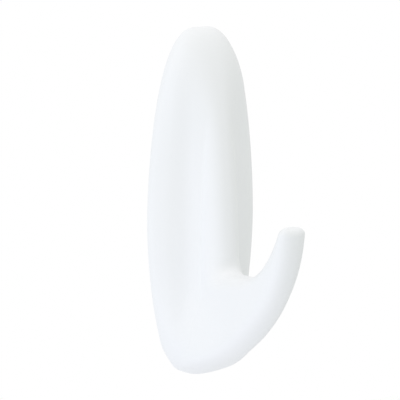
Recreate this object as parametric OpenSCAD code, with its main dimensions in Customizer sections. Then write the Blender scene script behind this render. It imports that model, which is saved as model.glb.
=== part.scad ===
// Adhesive wall hook: a hollow moulded hook that slides down onto a base plate,
// which a stretch-release adhesive strip holds to the wall.
// Millimetres. The wall is the plane y = 0, the hook faces -Y and +Z is up.
// The origin is the middle of the strip's bonded face on the wall.

/* [Hook plate] */
// Height of the hook body
body_h = 80; // [76:1:88]
// Width of the hook body at its widest
body_w = 28; // [27:0.5:32]
// Height of the widest place above the lower end of the body
widest_z = 36.5; // [35:0.5:40]
// Fullness of the oval between its widest place and its ends
oval_power = 1.75; // [1.55:0.05:2]
// Bluntness of the oval's ends
oval_root = 2.9; // [2.8:0.1:3.4]
// Depth of the ridge where it reaches the bend
ridge_d = 12.6; // [12.4:0.1:13.5]
// How much shallower the ridge is near the top
ridge_fall = 3.5; // [2:0.1:4]
// Bluntness of the ridge's upper end
ridge_power = 3.1; // [2.8:0.1:4]
// Width of the ridge
ridge_w = 9.4; // [8.4:0.2:12]
// Squareness of the ridge's shoulders, 2 being a plain ellipse
crest_power = 2.1; // [2:0.1:3]
// Radius of the ridge's crest
crest_r = 4.7; // [3:0.1:5]
// Depth of the rim before it slopes in
rim_d = 0.9; // [0.8:0.1:1.6]
// Depth at which the sloping flange has run into the ridge
flange_d = 12.4; // [10.5:0.1:12.4]
// Share of the flange's width that is cut off at the ridge's foot, which leaves a crease there
foot = 0.1; // [0:0.01:0.12]
// Share of the flange's width that the rim's bead takes before the hollow
bead = 0.15; // [0:0.05:0.4]
// Depth past the rim where the bead rolls over into the hollow
bead_at = 2.5; // [1:0.1:3]
// Depth over which the bead falls off into the hollow
bead_d = 3.1; // [2:0.1:4]
// Height above the lower end below which the flange gets shallower
flange_foot = 11.5; // [10:0.5:18]
// Height above the lower end where the ridge starts to fade into the dome
dome_z = 52; // [47:1:55]
// Length over which the ridge fades into the dome
dome_l = 42; // [35:1:45]

/* [Arm] */
// Height above the lower end where the ridge starts to bend forwards
bend_z = 28.8; // [27.5:0.1:30]
// Depth of the saddle's lowest point
saddle_d = 15.6; // [15:0.2:18]
// Height of the saddle's lowest point above the lower end
saddle_z = 25.4; // [24:0.1:26]
// Width of the arm at the saddle
arm_w = 9; // [8:0.2:10]
// Depth of the middle of the tip
tip_d = 36.7; // [33:0.1:40]
// Height of the middle of the tip above the lower end
tip_z = 37.7; // [35:0.1:42]
// Width of the tip
tip_w = 6.8; // [5.6:0.2:7.4]
// Thickness of the tip
tip_t = 3.7; // [3.6:0.1:5]
// Lean of the tip, from level
tip_lean = 68.5; // [60:0.5:80]
// Radius of the tip's end
tip_round = 1.7; // [1:0.1:1.7]
// Radius of the arm's front edges
front_edge = 4.2; // [2:0.1:4.4]
// Radius of the saddle's edges
saddle_edge = 2.6; // [1.5:0.1:3]
// Radius of the heel's corner at the wall
heel_r = 0.8; // [0.4:0.1:1.4]
// Height above the lower end below which the heel fills out to the plate's width
heel_fill = 25.5; // [16:0.5:26]
// Depth at which the filled heel has narrowed to the arm
heel_d = 20; // [14:0.5:21]
// Height up to which the rim's back edge gets rounder towards the lower end
heel_h = 9; // [6:0.5:11]

/* [Moulding] */
// Wall thickness round the socket in the hook's back
wall = 2; // [1.6:0.1:2.6]
// Clearance between the pull tab and the hook's rim
tab_clear = 0.3; // [0.2:0.05:0.8]
// Distance from the top of the body to the top of the base plate
top_cover = 8; // [7:0.5:12]
// Distance from the lower end of the pull tab to the lower end of the body
tab_cover = 7; // [5:0.5:9]

/* [Base plate] */
// Thickness of the base plate
plate_t = 2.8; // [2.6:0.1:3]
// Thickness of the side tongues
tongue_t = 1.3; // [1.1:0.1:1.4]
// How far the side tongues stand out of the plate
tongue_out = 1.4; // [1:0.1:1.6]
// Length of each side tongue
tongue_l = 8; // [6:0.5:9]
// Distance between the upper and lower tongues
tongue_pitch = 18; // [17:0.5:20]
// Height of the middle of the lower tongues above the lower end of the plate
tongue_z = 13; // [11:0.5:15]
// Width of the guide rail on the plate's front
rail_w = 8; // [6:0.5:9]
// Height of the guide rail
rail_t = 1.6; // [1:0.1:2]
// Distance from the guide rail's ends to the plate's ends
rail_end = 5; // [4:0.5:8]
// Corner radius of the guide rail and its groove
rail_r = 1.5; // [1:0.1:2]

/* [Sliding fit] */
// Clearance beside the tongues, the plate and the guide rail
side_clear = 0.25; // [0.15:0.05:0.4]
// Clearance in front of and behind the plate
face_clear = 0.2; // [0.1:0.05:0.3]
// Clearance at the ends of the slide
end_clear = 1; // [0.5:0.1:2]
// How much shorter a lip is than its tongue
lip_short = 1; // [0.5:0.5:2]
// How far past the tongues the lips go when the hook comes off
release = 2.5; // [1:0.5:3]

/* [Adhesive strip] */
// Width of the strip and the plate
strip_w = 16; // [15:0.5:17]
// Length of the pull tab
tab_l = 15; // [12:0.5:16]
// Thickness of the foam core
foam_t = 0.8; // [0.6:0.05:0.9]
// Thickness of each adhesive layer and of the tab's films
film_t = 0.1; // [0.08:0.01:0.15]
// Corner radius of the strip and the plate
strip_r = 3; // [1:0.5:5]

/* [Hidden] */

// Rings along the plate, round the bend and at the tip, and points in curves
plate_rings = 20;
bend_rings = 48;
tip_rings = 4;
// How closely rings crowd at the top of the plate and round the heel
ring_crowd = 1.7;
side_points = 18;
path_points = 40;
corner_points = 9;
oval_points = 40;
arc_points = 48;

// Heights: the plate and the bonded part of the strip are centred on the origin
bond_l = body_h - top_cover - tab_cover - tab_l;
bond_top = bond_l / 2;
tab_end = -bond_top - tab_l;
body_z = tab_end - tab_cover;
tongue_levels = [-bond_top + tongue_z, -bond_top + tongue_z + tongue_pitch];
lip_l = tongue_l - lip_short;
lift = (tongue_l + lip_l) / 2 + release;

// Distances from the wall, and half widths
strip_t = foam_t + 2 * film_t;
rim_gap = strip_t + tab_clear;
plate_front = strip_t + plate_t;
tongue_back = plate_front - tongue_t;
tongue_half = strip_w / 2 + tongue_out;
groove_half = rail_w / 2 + side_clear;

// How the ring planes spread round the bend, and where the ridge has become the arm
fan_power = 0.52;
saddle_t = 0.41;
arm_taper = 0.95;
// How hollow the flange is between the rim and the ridge, less than 1 being hollower
flange_power = 0.67;
// Softness of the flange where it dies into the arm, and the share of its depth at the lower end
flange_soft = 1.5;
flange_least = 0.31;
// Where along the bend the flange is gone
flange_end = [0.55, 0.75];
// Radius of the rim's back edge, and the share of the width that a rounded edge may use
rim_edge = 0.3;
edge_share = 0.95;
// Radius of the back edge at the heel, and the depth over which it turns into the arm's front edge
heel_edge = 2.8;
heel_run = 11;
// Handles of the curves that draw the side profile
bend_handle = [0.84, 0.44];
saddle_handle = 6.4;
tip_handle = 14.3;
heel_handle = 3.3;
front_handle = 25;
front_lean = 15.5;

// Smooth rise from 0 to 1
function smooth(u) = let (v = min(1, max(0, u))) v * v * v * (v * (6 * v - 15) + 10);
function mix(a, b, t) = a + (b - a) * t;
function bezier(p, u) =
    pow(1 - u, 3) * p[0] + 3 * u * pow(1 - u, 2) * p[1] + 3 * u * u * (1 - u) * p[2] + pow(u, 3) * p[3];

// Half width of the oval plate at height z above the lower end
function oval(z) =
    let (u = z > widest_z ? (z - widest_z) / (body_h - widest_z) : (widest_z - z) / widest_z)
    body_w / 2 * pow(max(0, 1 - pow(min(1, u), oval_power)), 1 / oval_root);

// Depth of the ridge at height z
function ridge(z) =
    let (u = min(1, max(0, (z - bend_z) / (body_h - bend_z))))
    (ridge_d - ridge_fall * u) * sqrt(1 - pow(u, ridge_power));

// Half width of the body at depth d and height z: the ridge or arm is a wide, the heel
// fills it out at the lower end, and the flange adds the rest of the oval near the rim
function breadth(d, z, a, dome, t) =
    let (b = oval(z),
         arm = mix(a, b, dome),
         fill = smooth(1 - z / heel_fill) * (1 - smooth(d / heel_d)),
         core = mix(arm, max(arm, b), fill),
         gap = b - core,
         soft = flange_soft * (1 - dome),
         flare = (gap + sqrt(gap * gap + soft * soft)) / 2,
         rise = max(0, d - rim_d) / mix(flange_least, 1, smooth(z / flange_foot)),
         slope = smooth(pow(min(1, rise / (flange_d - rim_d)), flange_power)),
         left = 1 - mix(slope, smooth((rise - bead_at) / bead_d), bead),
         rest = max(0, left - foot) / (1 - foot),
         end = 1 - smooth((t - flange_end[0]) / (flange_end[1] - flange_end[0])))
    core + flare * rest * end;

// Loss of width near a rounded edge, 1 at the edge and 0 from u = 1: a quarter ellipse at power 2
function edge_loss(u, power = 2) =
    let (v = 1 - min(1, max(0, u)))
    1 - pow(1 - pow(v, power), 1 / power);

// Polyline with its running length, and the point at a share of that length
function lengths(p) =
    [for (i = 0, s = 0; i < len(p); s = s + (i + 1 < len(p) ? norm(p[i + 1] - p[i]) : 0), i = i + 1) s];
function along(p, s, u) =
    let (x = u * s[len(s) - 1])
    [lookup(x, [for (i = [0:len(p) - 1]) [s[i], p[i][0]]]),
     lookup(x, [for (i = [0:len(p) - 1]) [s[i], p[i][1]]])];

// Side profile in depth and height: the tip, the curve of ridge, saddle and arm, and the curve below
tip_dir = [cos(tip_lean), sin(tip_lean)];
tip_side = [sin(tip_lean), -cos(tip_lean)];
tip = [tip_d, tip_z];
tip_in = tip - tip_side * tip_t / 2;
tip_out = tip + tip_side * tip_t / 2;
front_dir = [cos(tip_lean + front_lean), sin(tip_lean + front_lean)];
saddle = [saddle_d, saddle_z];
bend_curve = [[ridge_d, bend_z],
              [ridge_d, mix(bend_z, saddle_z, bend_handle[0])],
              [mix(saddle_d, ridge_d, bend_handle[1]), saddle_z],
              saddle];
arm_curve = [saddle, saddle + [saddle_handle, 0], tip_in - tip_dir * tip_handle, tip_in];
chin_curve = [[heel_r, 0], [heel_r + heel_handle, 0], tip_out - front_dir * front_handle, tip_out];
inner_path = concat([for (k = [0:path_points]) bezier(bend_curve, k / path_points)],
                    [for (k = [1:path_points]) bezier(arm_curve, k / path_points)]);
outer_path = concat([[0, bend_z]],
                    [for (k = [0:corner_points - 1])
                        heel_r * [1 - cos(90 * k / corner_points), 1 - sin(90 * k / corner_points)]],
                    [for (k = [0:path_points]) bezier(chin_curve, k / path_points)]);
inner_s = lengths(inner_path);
outer_s = lengths(outer_path);

// A station is [outer point, inner point, place along the bend, half width, share of dome]
function plate_station(z) =
    [[0, z], [ridge(z), z], 0, ridge_w / 2, smooth((z - dome_z) / dome_l)];
function bend_station(t) =
    let (root = mix(ridge_w, arm_w, smooth(t / saddle_t)),
         taper = pow(max(0, (t - saddle_t) / (1 - saddle_t)), arm_taper))
    [along(outer_path, outer_s, pow(t, fan_power)), along(inner_path, inner_s, t), t,
     (root + (tip_w - arm_w) * taper) / 2, 0];
function tip_station(angle) =
    let (c = tip + tip_dir * tip_round * sin(angle),
         cut = tip_round * (1 - cos(angle)))
    [c + tip_side * (tip_t / 2 - cut), c - tip_side * (tip_t / 2 - cut), 1, tip_w / 2 - cut, 0];

// One side of a ring, from the outer to the inner point, as [x, depth, height]
function side(st) =
    let (o = st[0],
         i = st[1],
         t = st[2],
         a = st[3],
         run = norm(i - o),
         wide = edge_share * breadth(o[0], o[1], a, st[4], t),
         heel = o[0] > 0 ? 1 : smooth(1 - o[1] / heel_h),
         past = smooth(o[0] / heel_run),
         out_r = min(run / 2, mix(rim_edge, mix(heel_edge, front_edge, past), heel)),
         out_w = min(wide, mix(rim_edge, mix(wide, front_edge, past), heel)),
         turn = smooth(t / saddle_t),
         shoulder = mix(crest_power, 2, turn),
         in_r = min(edge_share * run, mix(mix(crest_r, run - out_r, st[4]), saddle_edge, turn)))
    [for (k = [0:side_points])
        let (r = run * (1 - cos(180 * k / side_points)) / 2,
             p = mix(o, i, r / run),
             w = breadth(p[0], p[1], a, st[4], t),
             in_w = mix(edge_share * w, min(saddle_edge, edge_share * a), turn),
             lost = out_w * edge_loss(r / out_r) + in_w * edge_loss((run - r) / in_r, shoulder))
        [max(rim_edge / 10, w - lost), p[0], p[1]]];

function placed(p) = [p[0], -rim_gap - p[1], body_z + p[2]];
function ring(mid_out, half, mid_in) =
    concat([placed([0, mid_out[0], mid_out[1]])],
           [for (p = half) placed(p)],
           [placed([0, mid_in[0], mid_in[1]])],
           [for (k = [len(half) - 1:-1:0]) placed([-half[k][0], half[k][1], half[k][2]])]);

// Closed skin over rings with equal numbers of points, its ends closed from their inner middle points
module skin(rings) {
    n = len(rings[0]);
    mid = n / 2;
    last = (len(rings) - 1) * n;
    walls = [for (i = [0:len(rings) - 2], k = [0:n - 1], half = [0, 1])
        let (a = i * n + k,
             b = i * n + (k + 1) % n)
        half == 0 ? [a, a + n, b + n] : [a, b + n, b]];
    fan = [for (k = [0:n - 1]) if (k != mid && k != mid - 1) [mid, k, (k + 1) % n]];
    caps = concat(fan, [for (f = fan) [last + f[0], last + f[2], last + f[1]]]);
    polyhedron(points = [for (r = rings, p = r) p], faces = concat(walls, caps), convexity = 8);
}

// Outside of the hook, from the top of the plate round to the tip
module hook_form() {
    plate = [for (k = [0:plate_rings])
        plate_station(mix(body_h - rim_edge / 10, bend_z, pow(k / plate_rings, ring_crowd)))];
    bend = [for (k = [1:bend_rings]) bend_station(pow(k / bend_rings, ring_crowd))];
    end = [for (k = [1:tip_rings]) tip_station(90 * k / tip_rings)];
    skin([for (st = concat(plate, bend, end)) ring(st[0], side(st), st[1])]);
}

// Upright slab from a flat outline, between two distances from the wall
module upright(from_wall, to_wall) {
    translate([0, -from_wall, 0])
        rotate([90, 0, 0])
            linear_extrude(to_wall - from_wall)
                children();
}

// Rectangle with rounded corners between two heights
module rounded(w, r, z0, z1) {
    translate([-w / 2 + r, z0])
        square([w - 2 * r, z1 - z0]);
    translate([-w / 2, z0 + r])
        square([w, z1 - z0 - 2 * r]);
    for (x = [-1, 1], z = [z0 + r, z1 - r])
        translate([x * (w / 2 - r), z])
            circle(r, $fn = arc_points);
}

// Oval of the body drawn in sideways
module drawn_oval(inset) {
    right = [for (k = [0:oval_points])
        let (z = body_h * (1 - cos(180 * k / oval_points)) / 2)
        [max(rim_edge, oval(z) - inset), body_z + z]];
    polygon(concat(right, [for (k = [oval_points:-1:0]) [-right[k][0], right[k][1]]]));
}

// Socket in the hook's back that slides over the base plate, with the lips left standing at its mouth
module socket() {
    low = -bond_top - lift - end_clear;
    tongue_low = tongue_levels[0] - tongue_l / 2 - lift - end_clear;
    half = tongue_half + side_clear;
    lip_half = strip_w / 2 + side_clear;
    difference() {
        upright(0, plate_front + face_clear)
            intersection() {
                drawn_oval(wall);
                union() {
                    rounded(2 * lip_half, strip_r, low, bond_top);
                    translate([-half, tongue_low])
                        square([2 * half, bond_top - tongue_low]);
                }
            }
        for (z = tongue_levels, s = [-1, 1])
            translate([s > 0 ? lip_half : -body_w, -tongue_back + face_clear, z - lip_l / 2])
                cube([body_w - lip_half, tongue_back - face_clear, lip_l]);
    }
}

// Groove up the inside of the ridge, which the guide rail runs in
module groove() {
    low = -bond_top + rail_end - lift - end_clear;
    high = bond_top - rail_end + end_clear;
    deep = rim_gap + ridge(high - body_z) - wall;
    upright(0, deep)
        rounded(2 * groove_half, rail_r, low, high);
}

// Hollow-backed hook moulding
module hook_body() {
    color("white")
        difference() {
            hook_form();
            socket();
            groove();
        }
}

// Outline of a side tongue with lead-in corners
module tongue(z) {
    lead = tongue_out / 2;
    root = strip_w / 2 - tongue_out;
    half = tongue_l / 2;
    polygon([[root, z - half], [tongue_half - lead, z - half], [tongue_half, z - half + lead],
             [tongue_half, z + half - lead], [tongue_half - lead, z + half], [root, z + half]]);
}

// Space that the plate may fill at both ends of the slide
module slide_room() {
    for_plate = wall + side_clear;
    intersection() {
        drawn_oval(for_plate);
        translate([0, lift])
            drawn_oval(for_plate);
    }
}

// Mounting plate with side tongues and a guide rail
module base_plate() {
    color("gainsboro") {
        upright(strip_t, plate_front)
            intersection() {
                slide_room();
                rounded(strip_w, strip_r, -bond_top, bond_top);
            }
        upright(tongue_back, plate_front)
            intersection() {
                slide_room();
                for (z = tongue_levels) {
                    tongue(z);
                    mirror([1, 0])
                        tongue(z);
                }
            }
        upright(plate_front, plate_front + rail_t)
            rounded(rail_w, rail_r, -bond_top + rail_end, bond_top - rail_end);
    }
}

// Stretch-release foam core, with its pull tab at the lower end
module foam_strip() {
    color("whitesmoke")
        upright(film_t, film_t + foam_t)
            rounded(strip_w, strip_r, tab_end, bond_top);
}

// Part of the strip's outline between two heights, one film thick
module film(from_wall, z0, z1) {
    upright(from_wall, from_wall + film_t)
        intersection() {
            rounded(strip_w, strip_r, tab_end, bond_top);
            translate([-strip_w, z0])
                square([2 * strip_w, z1 - z0]);
        }
}

// Adhesive between the foam and the base plate
module plate_adhesive() {
    color("ivory")
        film(film_t + foam_t, -bond_top, bond_top);
}

// Adhesive between the foam and the wall
module wall_adhesive() {
    color("ivory")
        film(0, -bond_top, bond_top);
}

// Film over the pull tab on the room side
module tab_film_front() {
    color("lightgray")
        film(film_t + foam_t, tab_end, -bond_top);
}

// Film over the pull tab on the wall side
module tab_film_back() {
    color("lightgray")
        film(0, tab_end, -bond_top);
}

hook_body();
base_plate();
foam_strip();
plate_adhesive();
wall_adhesive();
tab_film_front();
tab_film_back();
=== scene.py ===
import math

import bpy
import numpy as np
from mathutils import Matrix, Vector


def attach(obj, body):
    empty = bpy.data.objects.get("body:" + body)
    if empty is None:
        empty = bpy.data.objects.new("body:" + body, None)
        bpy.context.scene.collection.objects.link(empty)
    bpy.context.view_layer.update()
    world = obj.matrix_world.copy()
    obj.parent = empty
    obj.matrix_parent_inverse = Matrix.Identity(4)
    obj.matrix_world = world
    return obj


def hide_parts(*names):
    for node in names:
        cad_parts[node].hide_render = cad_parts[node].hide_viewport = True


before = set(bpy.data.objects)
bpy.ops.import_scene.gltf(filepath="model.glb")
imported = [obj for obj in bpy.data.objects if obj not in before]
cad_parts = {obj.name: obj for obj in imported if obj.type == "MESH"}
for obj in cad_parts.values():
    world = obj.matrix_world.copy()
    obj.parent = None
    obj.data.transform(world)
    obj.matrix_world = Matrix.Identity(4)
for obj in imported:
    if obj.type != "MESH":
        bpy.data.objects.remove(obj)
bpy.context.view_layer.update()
mm = 0.001
print("frame loaded:", ", ".join(sorted(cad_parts)))


# meshes

def addObject(name, mesh):
    made = bpy.data.objects.new(name, mesh)
    bpy.context.scene.collection.objects.link(made)
    return made


def tubeMesh(name, rings):
    # rings[i, k] is point k of closed ring i: quads join neighbouring rings,
    # and one flat face closes each end
    count, around = rings.shape[:2]
    ring, step = np.meshgrid(np.arange(count - 1), np.arange(around), indexing="ij")
    here = ring * around + step
    beside = ring * around + (step + 1) % around
    quads = np.stack([here, beside, beside + around, here + around], -1).reshape(-1, 4)
    first = np.arange(around)
    last = (count - 1) * around + first
    mesh = bpy.data.meshes.new(name)
    mesh.from_pydata(rings.reshape(-1, 3) * mm, [], quads.tolist() + [first[::-1].tolist(), last.tolist()])
    mesh.update()
    return mesh


def prismMesh(name, outline, fromWall, toWall):
    # a flat outline in x and z, carried from one distance in front of the wall to another
    depth = np.array([fromWall, toWall], float)[:, None]
    x, z = outline[:, 0] + 0 * depth, outline[:, 1] + 0 * depth
    return tubeMesh(name, np.stack([x, -depth + 0 * x, z], -1))


def roundedOutline(width, radius, low, high, arc=12):
    # four quarter circles, one at each corner of a rectangle, joined by straight sides
    turn = np.radians(np.linspace(0, 90, arc + 1) + np.array([[0], [90], [180], [270]]))
    sideX = np.array([[1], [-1], [-1], [1]]) * (width / 2 - radius)
    sideZ = np.array([[high - radius], [high - radius], [low + radius], [low + radius]])
    return np.stack([sideX + radius * np.cos(turn), sideZ + radius * np.sin(turn)], -1).reshape(-1, 2)


def cutAway(target, cutterMesh):
    cutter = addObject("cutter", cutterMesh)
    cut = target.modifiers.new("cut", "BOOLEAN")
    cut.operation = "DIFFERENCE"
    cut.solver = "EXACT"
    cut.object = cutter
    made = bpy.data.meshes.new_from_object(target.evaluated_get(bpy.context.evaluated_depsgraph_get()))
    target.modifiers.clear()
    target.data = made
    bpy.data.objects.remove(cutter)


# hook: one skin from the top of the plate down the ridge, round the saddle and out to the tip

hookForm = dict(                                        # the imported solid: millimetres, degrees, shares
    bodyHigh=80, bodyWide=28, widestAt=36.5, ovalPower=1.75, ovalRoot=2.9,
    ridgeDeep=12.6, ridgeFall=3.5, ridgePower=3.1, ridgeWide=9.4, crestRound=4.7, crestPower=2.1,
    domeAt=52, domeLong=42,
    rimDeep=0.9, flangeDeep=12.4, flangePower=0.67, flangeSoft=1.5, flangeFoot=11.5, flangeLeast=0.31,
    flangeEnd=(0.55, 0.75), foot=0.1, bead=0.15, beadAt=2.5, beadDeep=3.1,
    bendAt=28.8, saddleDeep=15.6, saddleAt=25.4, saddleShare=0.41, armWide=9, armTaper=0.95, fanPower=0.52,
    tipDeep=36.7, tipAt=37.7, tipWide=6.8, tipThick=3.7, tipLean=68.5, tipRound=1.7,
    frontEdge=4.2, saddleEdge=2.6, rimEdge=0.3, edgeShare=0.95,
    heelHigh=9, heelRound=0.8, heelEdge=2.8, heelRun=11, heelFill=25.5, heelDeep=20,
    bendHandle=(0.84, 0.44), saddleHandle=6.4, tipHandle=14.3,
    heelHandle=3.3, frontHandle=25, frontLean=15.5,
    rimGap=1.3, bodyLow=-47,                            # where the rim's back and the lower end stand
    sliver=0.003,                                       # keeps rings and half widths from nought
    plateRings=90, bendRings=190, tipRings=14, heelPoints=9, sidePoints=56, ringCrowd=1.7,
    sharpFrom=38)                                       # angle between faces from which an edge stays sharp


def smooth(share):
    v = np.clip(share, 0, 1)
    return v * v * v * (v * (6 * v - 15) + 10)


def mix(a, b, share):
    return a + (b - a) * share


def bezier(points, count=60):
    u = np.linspace(0, 1, count + 1)[:, None]
    p = np.array(points, float)
    return (1 - u) ** 3 * p[0] + 3 * u * (1 - u) ** 2 * p[1] + 3 * u * u * (1 - u) * p[2] + u ** 3 * p[3]


def alongPath(path, share):
    run = np.r_[0, np.cumsum(np.hypot(*np.diff(path, axis=0).T))]
    return np.stack([np.interp(share * run[-1], run, path[:, axis]) for axis in (0, 1)], -1)


def ovalHalf(f, z):
    # half width of the oval: half of bodyWide times the ovalRoot-th root of 1 - u^ovalPower,
    # where u runs from 0 at the widest place to 1 at either end
    above = (z - f["widestAt"]) / (f["bodyHigh"] - f["widestAt"])
    u = np.where(z > f["widestAt"], above, 1 - z / f["widestAt"])
    return f["bodyWide"] / 2 * np.maximum(0, 1 - np.clip(u, 0, 1) ** f["ovalPower"]) ** (1 / f["ovalRoot"])


def ridgeDepth(f, z):
    # the ridge gets shallower upwards in proportion,
    # and its upper end is the square root of 1 - u^ridgePower
    u = np.clip((z - f["bendAt"]) / (f["bodyHigh"] - f["bendAt"]), 0, 1)
    return (f["ridgeDeep"] - f["ridgeFall"] * u) * np.sqrt(1 - u ** f["ridgePower"])


ellipsePower = 2


def edgeLoss(share, power=ellipsePower):
    # quarter of an ellipse, or of a squarer oval where the power is more than 2:
    # 1 at an edge, 0 from share 1 on
    return 1 - (1 - (1 - np.clip(share, 0, 1)) ** power) ** (1 / power)


def hookRings(f):
    # A ring is cut by a plane from an outer point, on the wall or the arm's front, to an inner point,
    # on the crest or the saddle. Half width = ridge or arm, filled out at the heel, + flange that fades
    # with depth and has a crease at the ridge's foot, less a quarter ellipse at each edge.
    lean, frontLean = np.radians(f["tipLean"]), np.radians(f["tipLean"] + f["frontLean"])
    tipAlong = np.array([np.cos(lean), np.sin(lean)])
    tipAcross = np.array([np.sin(lean), -np.cos(lean)])
    tip = np.array([f["tipDeep"], f["tipAt"]])
    saddle = np.array([f["saddleDeep"], f["saddleAt"]])
    tipIn, tipOut = tip - tipAcross * f["tipThick"] / 2, tip + tipAcross * f["tipThick"] / 2

    # side profile, as depth and height
    bendCurve = [(f["ridgeDeep"], f["bendAt"]),
                 (f["ridgeDeep"], mix(f["bendAt"], f["saddleAt"], f["bendHandle"][0])),
                 (mix(f["saddleDeep"], f["ridgeDeep"], f["bendHandle"][1]), f["saddleAt"]),
                 saddle]
    armCurve = [saddle, saddle + [f["saddleHandle"], 0], tipIn - tipAlong * f["tipHandle"], tipIn]
    frontAlong = np.array([np.cos(frontLean), np.sin(frontLean)])
    chinCurve = [(f["heelRound"], 0), (f["heelRound"] + f["heelHandle"], 0),
                 tipOut - frontAlong * f["frontHandle"], tipOut]
    corner = np.radians(np.linspace(0, 90, f["heelPoints"] + 1))[:-1]
    heelArc = f["heelRound"] * np.stack([1 - np.cos(corner), 1 - np.sin(corner)], -1)
    inner = np.concatenate([bezier(bendCurve), bezier(armCurve)[1:]])
    outer = np.concatenate([[(0, f["bendAt"])], heelArc, bezier(chinCurve)])

    # stations on the plate, round the bend and over the tip's end
    top = f["bodyHigh"] - f["sliver"]
    z = mix(top, f["bendAt"], (np.arange(f["plateRings"] + 1) / f["plateRings"]) ** f["ringCrowd"])
    ridge = ridgeDepth(f, z)
    t = (np.arange(1, f["bendRings"] + 1) / f["bendRings"]) ** f["ringCrowd"]
    turn = np.radians(np.linspace(0, 90, f["tipRings"] + 1))[1:]
    shrink = f["tipRound"] * (1 - np.cos(turn))
    tipMid = tip + tipAlong * (f["tipRound"] * np.sin(turn))[:, None]
    tipHalf = tipAcross * (f["tipThick"] / 2 - shrink)[:, None]
    plateOut, plateIn = np.stack([0 * z, z], -1), np.stack([ridge, z], -1)
    outPoint = np.concatenate([plateOut, alongPath(outer, t ** f["fanPower"]), tipMid + tipHalf])
    inPoint = np.concatenate([plateIn, alongPath(inner, t), tipMid - tipHalf])
    place = np.concatenate([0 * z, t, 1 + 0 * turn])[:, None]
    root = mix(f["ridgeWide"], f["armWide"], smooth(t / f["saddleShare"]))
    taper = np.maximum(0, (t - f["saddleShare"]) / (1 - f["saddleShare"])) ** f["armTaper"]
    arm = np.concatenate([0 * z + f["ridgeWide"] / 2, (root + (f["tipWide"] - f["armWide"]) * taper) / 2,
                          f["tipWide"] / 2 - shrink])[:, None]
    dome = np.concatenate([smooth((z - f["domeAt"]) / f["domeLong"]), 0 * t, 0 * turn])[:, None]

    # one side of every ring, points crowded towards both edges
    run = np.hypot(*(inPoint - outPoint).T)[:, None]
    share = (1 - np.cos(np.pi * np.arange(f["sidePoints"] + 1) / f["sidePoints"])) / 2
    d, h = (mix(outPoint[:, [axis]], inPoint[:, [axis]], share) for axis in (0, 1))
    oval = ovalHalf(f, h)
    core = mix(arm, oval, dome)
    fill = smooth(1 - h / f["heelFill"]) * (1 - smooth(d / f["heelDeep"]))
    core = mix(core, np.maximum(core, oval), fill)
    gap = oval - core
    flare = (gap + np.hypot(gap, f["flangeSoft"] * (1 - dome))) / 2
    low = mix(f["flangeLeast"], 1, smooth(h / f["flangeFoot"]))
    rise = np.maximum(0, (d - f["rimDeep"]) / low)
    slope = smooth(np.minimum(1, rise / (f["flangeDeep"] - f["rimDeep"])) ** f["flangePower"])
    left = 1 - mix(slope, smooth((rise - f["beadAt"]) / f["beadDeep"]), f["bead"])
    left = np.maximum(0, left - f["foot"]) / (1 - f["foot"])
    gone = smooth((place - f["flangeEnd"][0]) / (f["flangeEnd"][1] - f["flangeEnd"][0]))
    half = core + flare * left * (1 - gone)

    # rounded edges
    heel = np.where(outPoint[:, :1] > 0, 1, smooth(1 - outPoint[:, 1:] / f["heelHigh"]))
    past = smooth(outPoint[:, :1] / f["heelRun"])
    outMost, inMost = f["edgeShare"] * half[:, :1], f["edgeShare"] * arm
    outDeep = np.minimum(run / 2, mix(f["rimEdge"], mix(f["heelEdge"], f["frontEdge"], past), heel))
    outWide = np.minimum(outMost, mix(f["rimEdge"], mix(outMost, f["frontEdge"], past), heel))
    bend = smooth(place / f["saddleShare"])
    crestDeep = mix(f["crestRound"], run - outDeep, dome)
    inDeep = np.minimum(f["edgeShare"] * run, mix(crestDeep, f["saddleEdge"], bend))
    inWide = mix(f["edgeShare"] * half, np.minimum(f["saddleEdge"], inMost), bend)
    outLoss = outWide * edgeLoss(run * share / outDeep)
    inLoss = inWide * edgeLoss(run * (1 - share) / inDeep, mix(f["crestPower"], ellipsePower, bend))
    x = np.maximum(f["sliver"], half - outLoss - inLoss)

    right = np.stack([x, -f["rimGap"] - d, f["bodyLow"] + h], -1)
    mirrored = right[:, ::-1] * [-1, 1, 1]
    return np.concatenate([right, mirrored], 1)


socketForm = dict(                                      # hollow in the hook's back, millimetres
    wall=2, half=9.65, low=-36, tongueLow=-27, high=25, floor=4.0, corner=3,
    lipHalf=8.25, lipFront=2.3, lipLong=7, lipAt=(-12, 6),
    grooveHalf=4.25, grooveRound=1.5, grooveLow=-31, grooveHigh=21,
    mouthFrom=0.5, mouthPast=0.01, grooveBefore=0.5,    # where cutters start, or overlap hollows
    levels=90, cornerSteps=12, step=1e-5)               # step is half the height of a step in the outline


def socketOutline(s, f, lips):
    # half width at height z: a round-cornered slot below, room for the tongues above,
    # narrow again at each lip, and never nearer to the oval than the wall
    lipEnds = np.array(s["lipAt"])[:, None] + [-s["lipLong"] / 2, s["lipLong"] / 2]
    edges = np.concatenate([[s["tongueLow"]], lipEnds.ravel()])
    turn = s["low"] + s["corner"] * (1 - np.cos(np.radians(np.linspace(0, 90, s["cornerSteps"] + 1))))
    straight = np.linspace(turn[-1], s["high"], s["levels"])
    z = np.unique(np.concatenate([turn, straight, edges - s["step"], edges + s["step"]]))
    slot = s["lipHalf"] - s["corner"] + np.sqrt(s["corner"] ** 2 - np.maximum(0, turn[-1] - z) ** 2)
    inLip = lips & np.any(np.abs(z[:, None] - np.array(s["lipAt"])) < s["lipLong"] / 2, 1)
    half = np.where((z < s["tongueLow"]) | inLip, slot, s["half"])
    side = np.stack([np.minimum(half, ovalHalf(f, z - f["bodyLow"]) - s["wall"]), z], -1)
    return np.concatenate([side, side[::-1] * [-1, 1]])


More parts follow.
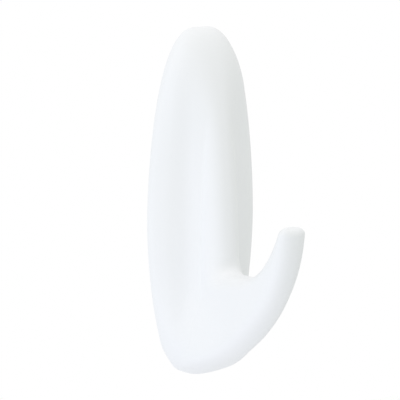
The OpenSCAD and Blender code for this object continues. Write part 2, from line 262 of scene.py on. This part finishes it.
def hollowOut(target, s, f):
    # from the back: the mouth between the lips, the socket in front of them,
    # the groove in the socket's floor
    groove = roundedOutline(2 * s["grooveHalf"], s["grooveRound"], s["grooveLow"], s["grooveHigh"])
    grooveFloor = f["rimGap"] + ridgeDepth(f, s["grooveHigh"] - f["bodyLow"]) - s["wall"]
    mouthTo = s["lipFront"] + s["mouthPast"]
    cutAway(target, prismMesh("mouth", socketOutline(s, f, True), s["mouthFrom"], mouthTo))
    cutAway(target, prismMesh("socket", socketOutline(s, f, False), s["lipFront"], s["floor"]))
    cutAway(target, prismMesh("groove", groove, s["floor"] - s["grooveBefore"], grooveFloor))


hook = addObject("hookShell", tubeMesh("hookShell", hookRings(hookForm)))
hollowOut(hook, socketForm, hookForm)
hook.data.shade_smooth()
hook.data.set_sharp_from_angle(angle=math.radians(hookForm["sharpFrom"]))
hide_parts("hook_body")
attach(hook, "hook")
print("hook skin:", len(hook.data.polygons), "faces")


# foam core of the strip

foamForm = dict(                                        # millimetres, and degrees for sharpFrom
    wide=16, radius=3, low=-40, high=25, fromWall=0.1, thick=0.8, pinch=0.12,
    levels=9, cornerSteps=16, sharpFrom=50)


def foamRings(f):
    # the strip's outline carried through its thickness, drawn in towards both faces by a parabola
    v = np.linspace(0, 1, f["levels"])[:, None]
    inset = f["pinch"] * (2 * v - 1) ** 2
    line = roundedOutline(f["wide"], f["radius"], f["low"], f["high"], f["cornerSteps"])
    mid = np.array([0, (f["low"] + f["high"]) / 2])
    reach = np.abs(line - mid).max(0)
    x = line[:, 0] * (1 - inset / reach[0])
    z = mid[1] + (line[:, 1] - mid[1]) * (1 - inset / reach[1])
    return np.stack([x, -(f["fromWall"] + f["thick"] * v) + 0 * x, z], -1)


foam = addObject("foamCore", tubeMesh("foamCore", foamRings(foamForm)))
foam.data.shade_smooth()
foam.data.set_sharp_from_angle(angle=math.radians(foamForm["sharpFrom"]))
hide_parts("foam_strip")
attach(foam, "wall_base")
print("foam core:", len(foam.data.polygons), "faces")


# finishes

class Wire:                                             # a socket: shader maths reads as sums
    def __init__(self, tree, socket=None):
        self.tree, self.socket = tree, socket

    def node(self, kind, settings=None, sockets=None, out=0):
        made = self.tree.nodes.new(kind)
        for name, value in (settings or {}).items():
            setattr(made, name, value)
        for name, value in (sockets or {}).items():
            self.into(made.inputs[name], value)
        return Wire(self.tree, made.outputs[out])

    def into(self, target, value):
        if isinstance(value, Wire):
            self.tree.links.new(value.socket, target)
        else:
            target.default_value = value

    def sums(self, operation, a, b):
        return self.node("ShaderNodeMath", {"operation": operation}, {0: a, 1: b})

    def __add__(self, other):
        return self.sums("ADD", self, other)

    def __mul__(self, other):
        return self.sums("MULTIPLY", self, other)

    __radd__, __rmul__ = __add__, __mul__

    def noise(self, size, detail=2.0):                  # size is one speck, in metres
        return self.node("ShaderNodeTexNoise", {}, {"Vector": self, "Scale": 1 / size, "Detail": detail})

    def cells(self, size):
        return self.node("ShaderNodeTexVoronoi", {}, {"Vector": self, "Scale": 1 / size})

    def blend(self, colourA, colourB):                  # self is the share of colourB
        inputs = {0: self, 6: (*colourA, 1), 7: (*colourB, 1)}   # 6, 7 and output 2 are the node's colours
        return self.node("ShaderNodeMix", {"data_type": "RGBA"}, inputs, out=2)

    def bumps(self, distance, strength):
        return self.node("ShaderNodeBump", {}, {"Height": self, "Distance": distance, "Strength": strength})


def finish(name, **fixed):
    made = bpy.data.materials.new(name)
    made.use_nodes = True
    shader = made.node_tree.nodes["Principled BSDF"]
    for socket, value in fixed.items():
        shader.inputs[socket.replace("_", " ")].default_value = value
    place = Wire(made.node_tree).node("ShaderNodeTexCoord", out="Object")
    return made, shader.inputs, place


def hookPlastic():
    made, socket, place = finish("hookPlastic", IOR=1.5)
    tint = place.noise(size=0.018)                      # slow drift of the resin's white
    grain = place.noise(size=0.0006, detail=3.0)        # fine spark finish of the mould
    place.into(socket["Base Color"], tint.blend((0.845, 0.86, 0.87), (0.865, 0.875, 0.885)))
    place.into(socket["Roughness"], 0.50 + 0.10 * grain + 0.06 * tint)
    place.into(socket["Normal"], grain.bumps(distance=0.00002, strength=0.25))
    return made


def platePlastic():
    made, socket, place = finish("platePlastic", IOR=1.5)
    grain = place.noise(size=0.0004, detail=4.0)
    tint = place.noise(size=0.012)
    place.into(socket["Base Color"], tint.blend((0.72, 0.74, 0.76), (0.78, 0.79, 0.80)))
    place.into(socket["Roughness"], 0.45 + 0.2 * grain)
    place.into(socket["Normal"], grain.bumps(distance=0.00004, strength=0.4))
    return made


def foamFinish():
    made, socket, place = finish("foamFinish")
    cell = place.cells(size=0.0003)
    place.into(socket["Base Color"], cell.blend((0.70, 0.70, 0.67), (0.86, 0.86, 0.83)))
    place.into(socket["Roughness"], 0.75 + 0.2 * cell)
    place.into(socket["Normal"], cell.bumps(distance=0.00008, strength=0.6))
    return made


def tackFinish():
    made, socket, place = finish("tackFinish", IOR=1.48)
    patch = place.noise(size=0.004, detail=4.0)
    place.into(socket["Base Color"], patch.blend((0.74, 0.72, 0.64), (0.82, 0.81, 0.75)))
    place.into(socket["Roughness"], 0.18 + 0.3 * patch)
    place.into(socket["Normal"], patch.bumps(distance=0.00005, strength=0.3))
    return made


def filmFinish():
    made, socket, place = finish("filmFinish", IOR=1.5)
    haze = place.noise(size=0.003, detail=3.0)
    ripple = place.noise(size=0.0009, detail=1.0)
    place.into(socket["Base Color"], haze.blend((0.78, 0.79, 0.80), (0.86, 0.86, 0.87)))
    place.into(socket["Roughness"], 0.22 + 0.16 * haze)
    place.into(socket["Normal"], ripple.bumps(distance=0.00003, strength=0.25))
    return made


def paint(piece, material):
    piece.data.materials.clear()
    piece.data.materials.append(material)


tack, film = tackFinish(), filmFinish()
paint(hook, hookPlastic())
paint(foam, foamFinish())
paint(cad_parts["base_plate"], platePlastic())
thinLayers = dict(plate_adhesive=tack, wall_adhesive=tack, tab_film_front=film, tab_film_back=film)
for name, material in thinLayers.items():
    paint(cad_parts[name], material)
print("finishes: 5")


# camera, from the photograph's own view

shot = dict(                                            # degrees, millimetres and pixels; clip is in metres
    azimuth=-33.54, elevation=9.24, roll=-0.48, distance=600, aim=(0, -9.3, -7),
    frame=400, aimPixel=(218.33, 206.31), pxPerMm=4.43, sensor=36, clip=(0.01, 20))


def addCamera(s):
    # the aim point lands on its own pixel: the camera stands off from it,
    # and looks at what lies on the frame's middle
    a, e, r = (math.radians(s[key]) for key in ("azimuth", "elevation", "roll"))
    back = Vector((math.sin(a) * math.cos(e), -math.cos(a) * math.cos(e), math.sin(e)))
    level = Vector((math.cos(a), math.sin(a), 0))
    across = level * math.cos(r) - back.cross(level) * math.sin(r)
    upward = back.cross(across)
    aim = Vector(s["aim"])
    eye = aim + back * s["distance"]
    offset = [(pixel - s["frame"] / 2) / s["pxPerMm"] for pixel in s["aimPixel"]]
    middle = aim - across * offset[0] + upward * offset[1]
    away = (eye - middle).normalized()
    side = (across - away * across.dot(away)).normalized()
    data = bpy.data.cameras.new("photoCamera")
    data.sensor_width = s["sensor"]
    data.lens = s["sensor"] * s["pxPerMm"] * s["distance"] / s["frame"]
    data.clip_start, data.clip_end = s["clip"]
    camera = addObject("photoCamera", data)
    turned = Matrix((side, away.cross(side), away)).transposed().to_4x4()
    camera.matrix_world = Matrix.Translation(eye * mm) @ turned
    bpy.context.scene.camera = camera


addCamera(shot)


# light and floor

studio = dict(                                          # metres and watts
    sky=(0.843, 0.862, 0.844), target=(0, -0.012, -0.007),
    floorAt=-0.95, floorSize=3.0, floorCells=8, floorLift=0.3,
    lamps=dict(leftLamp=dict(power=1.13, at=(-0.55, -0.20, 0.55), size=0.5, tint=(0.83, 0.867, 1)),
               topLamp=dict(power=0.85, at=(-0.05, -0.15, 0.80), size=0.5, tint=(1, 0.80, 0.80)),
               lowLamp=dict(power=1.74, at=(-0.50, -0.15, -0.60), size=0.5, tint=(0.824, 0.816, 1))))


def addLamp(name, lamp, target):
    data = bpy.data.lights.new(name, "AREA")
    data.energy, data.size, data.color = lamp["power"], lamp["size"], lamp["tint"]
    toward = Vector(target) - Vector(lamp["at"])
    turned = toward.to_track_quat("-Z", "Y").to_matrix().to_4x4()
    addObject(name, data).matrix_world = Matrix.Translation(lamp["at"]) @ turned


def looked(tree):
    # 1 for a ray that looks, mirrors or sees through, 0 for one that only lights
    path = tree.nodes.new("ShaderNodeLightPath")
    kinds = ("Camera", "Glossy", "Transmission")
    camera, mirror, through = (Wire(tree, path.outputs[f"Is {kind} Ray"]) for kind in kinds)
    return camera.sums("MAXIMUM", camera, mirror.sums("MAXIMUM", mirror, through))


def addStudio(s):
    for name, lamp in s["lamps"].items():
        addLamp(name, lamp, s["target"])

    # sky: even pale light, and plain white where it is looked at
    world = bpy.data.worlds.new("studioSky")
    bpy.context.scene.world = world
    world.use_nodes = True
    sky = world.node_tree.nodes["Background"]
    look = looked(world.node_tree)
    look.into(sky.inputs["Color"], look.blend(s["sky"], (1, 1, 1)))
    sky.inputs["Strength"].default_value = 1

    # floor: pale, keeps the shadow, and is lifted to white where it is looked at
    row = s["floorCells"] + 1
    reach = np.linspace(-s["floorSize"], s["floorSize"], row)
    x, y = np.meshgrid(reach, reach)
    grid = np.stack([x, y, s["floorAt"] + 0 * x], -1).reshape(-1, 3)
    cell = np.arange(s["floorCells"])
    here = (cell[:, None] * row + cell).ravel()
    mesh = bpy.data.meshes.new("studioFloor")
    mesh.from_pydata(grid, [], np.stack([here, here + 1, here + row + 1, here + row], -1).tolist())
    floor = addObject("studioFloor", mesh)
    made, socket, place = finish("floorFinish", Roughness=0.9, Specular_IOR_Level=0.1)
    place.into(socket["Base Color"], place.noise(size=0.05).blend((0.80, 0.80, 0.80), (0.82, 0.82, 0.82)))
    place.into(socket["Emission Color"], looked(made.node_tree).blend((0, 0, 0), (1, 1, 1)))
    socket["Emission Strength"].default_value = s["floorLift"]
    paint(floor, made)


addStudio(studio)
bpy.context.scene.view_settings.view_transform = "Standard"
print("camera and studio set")
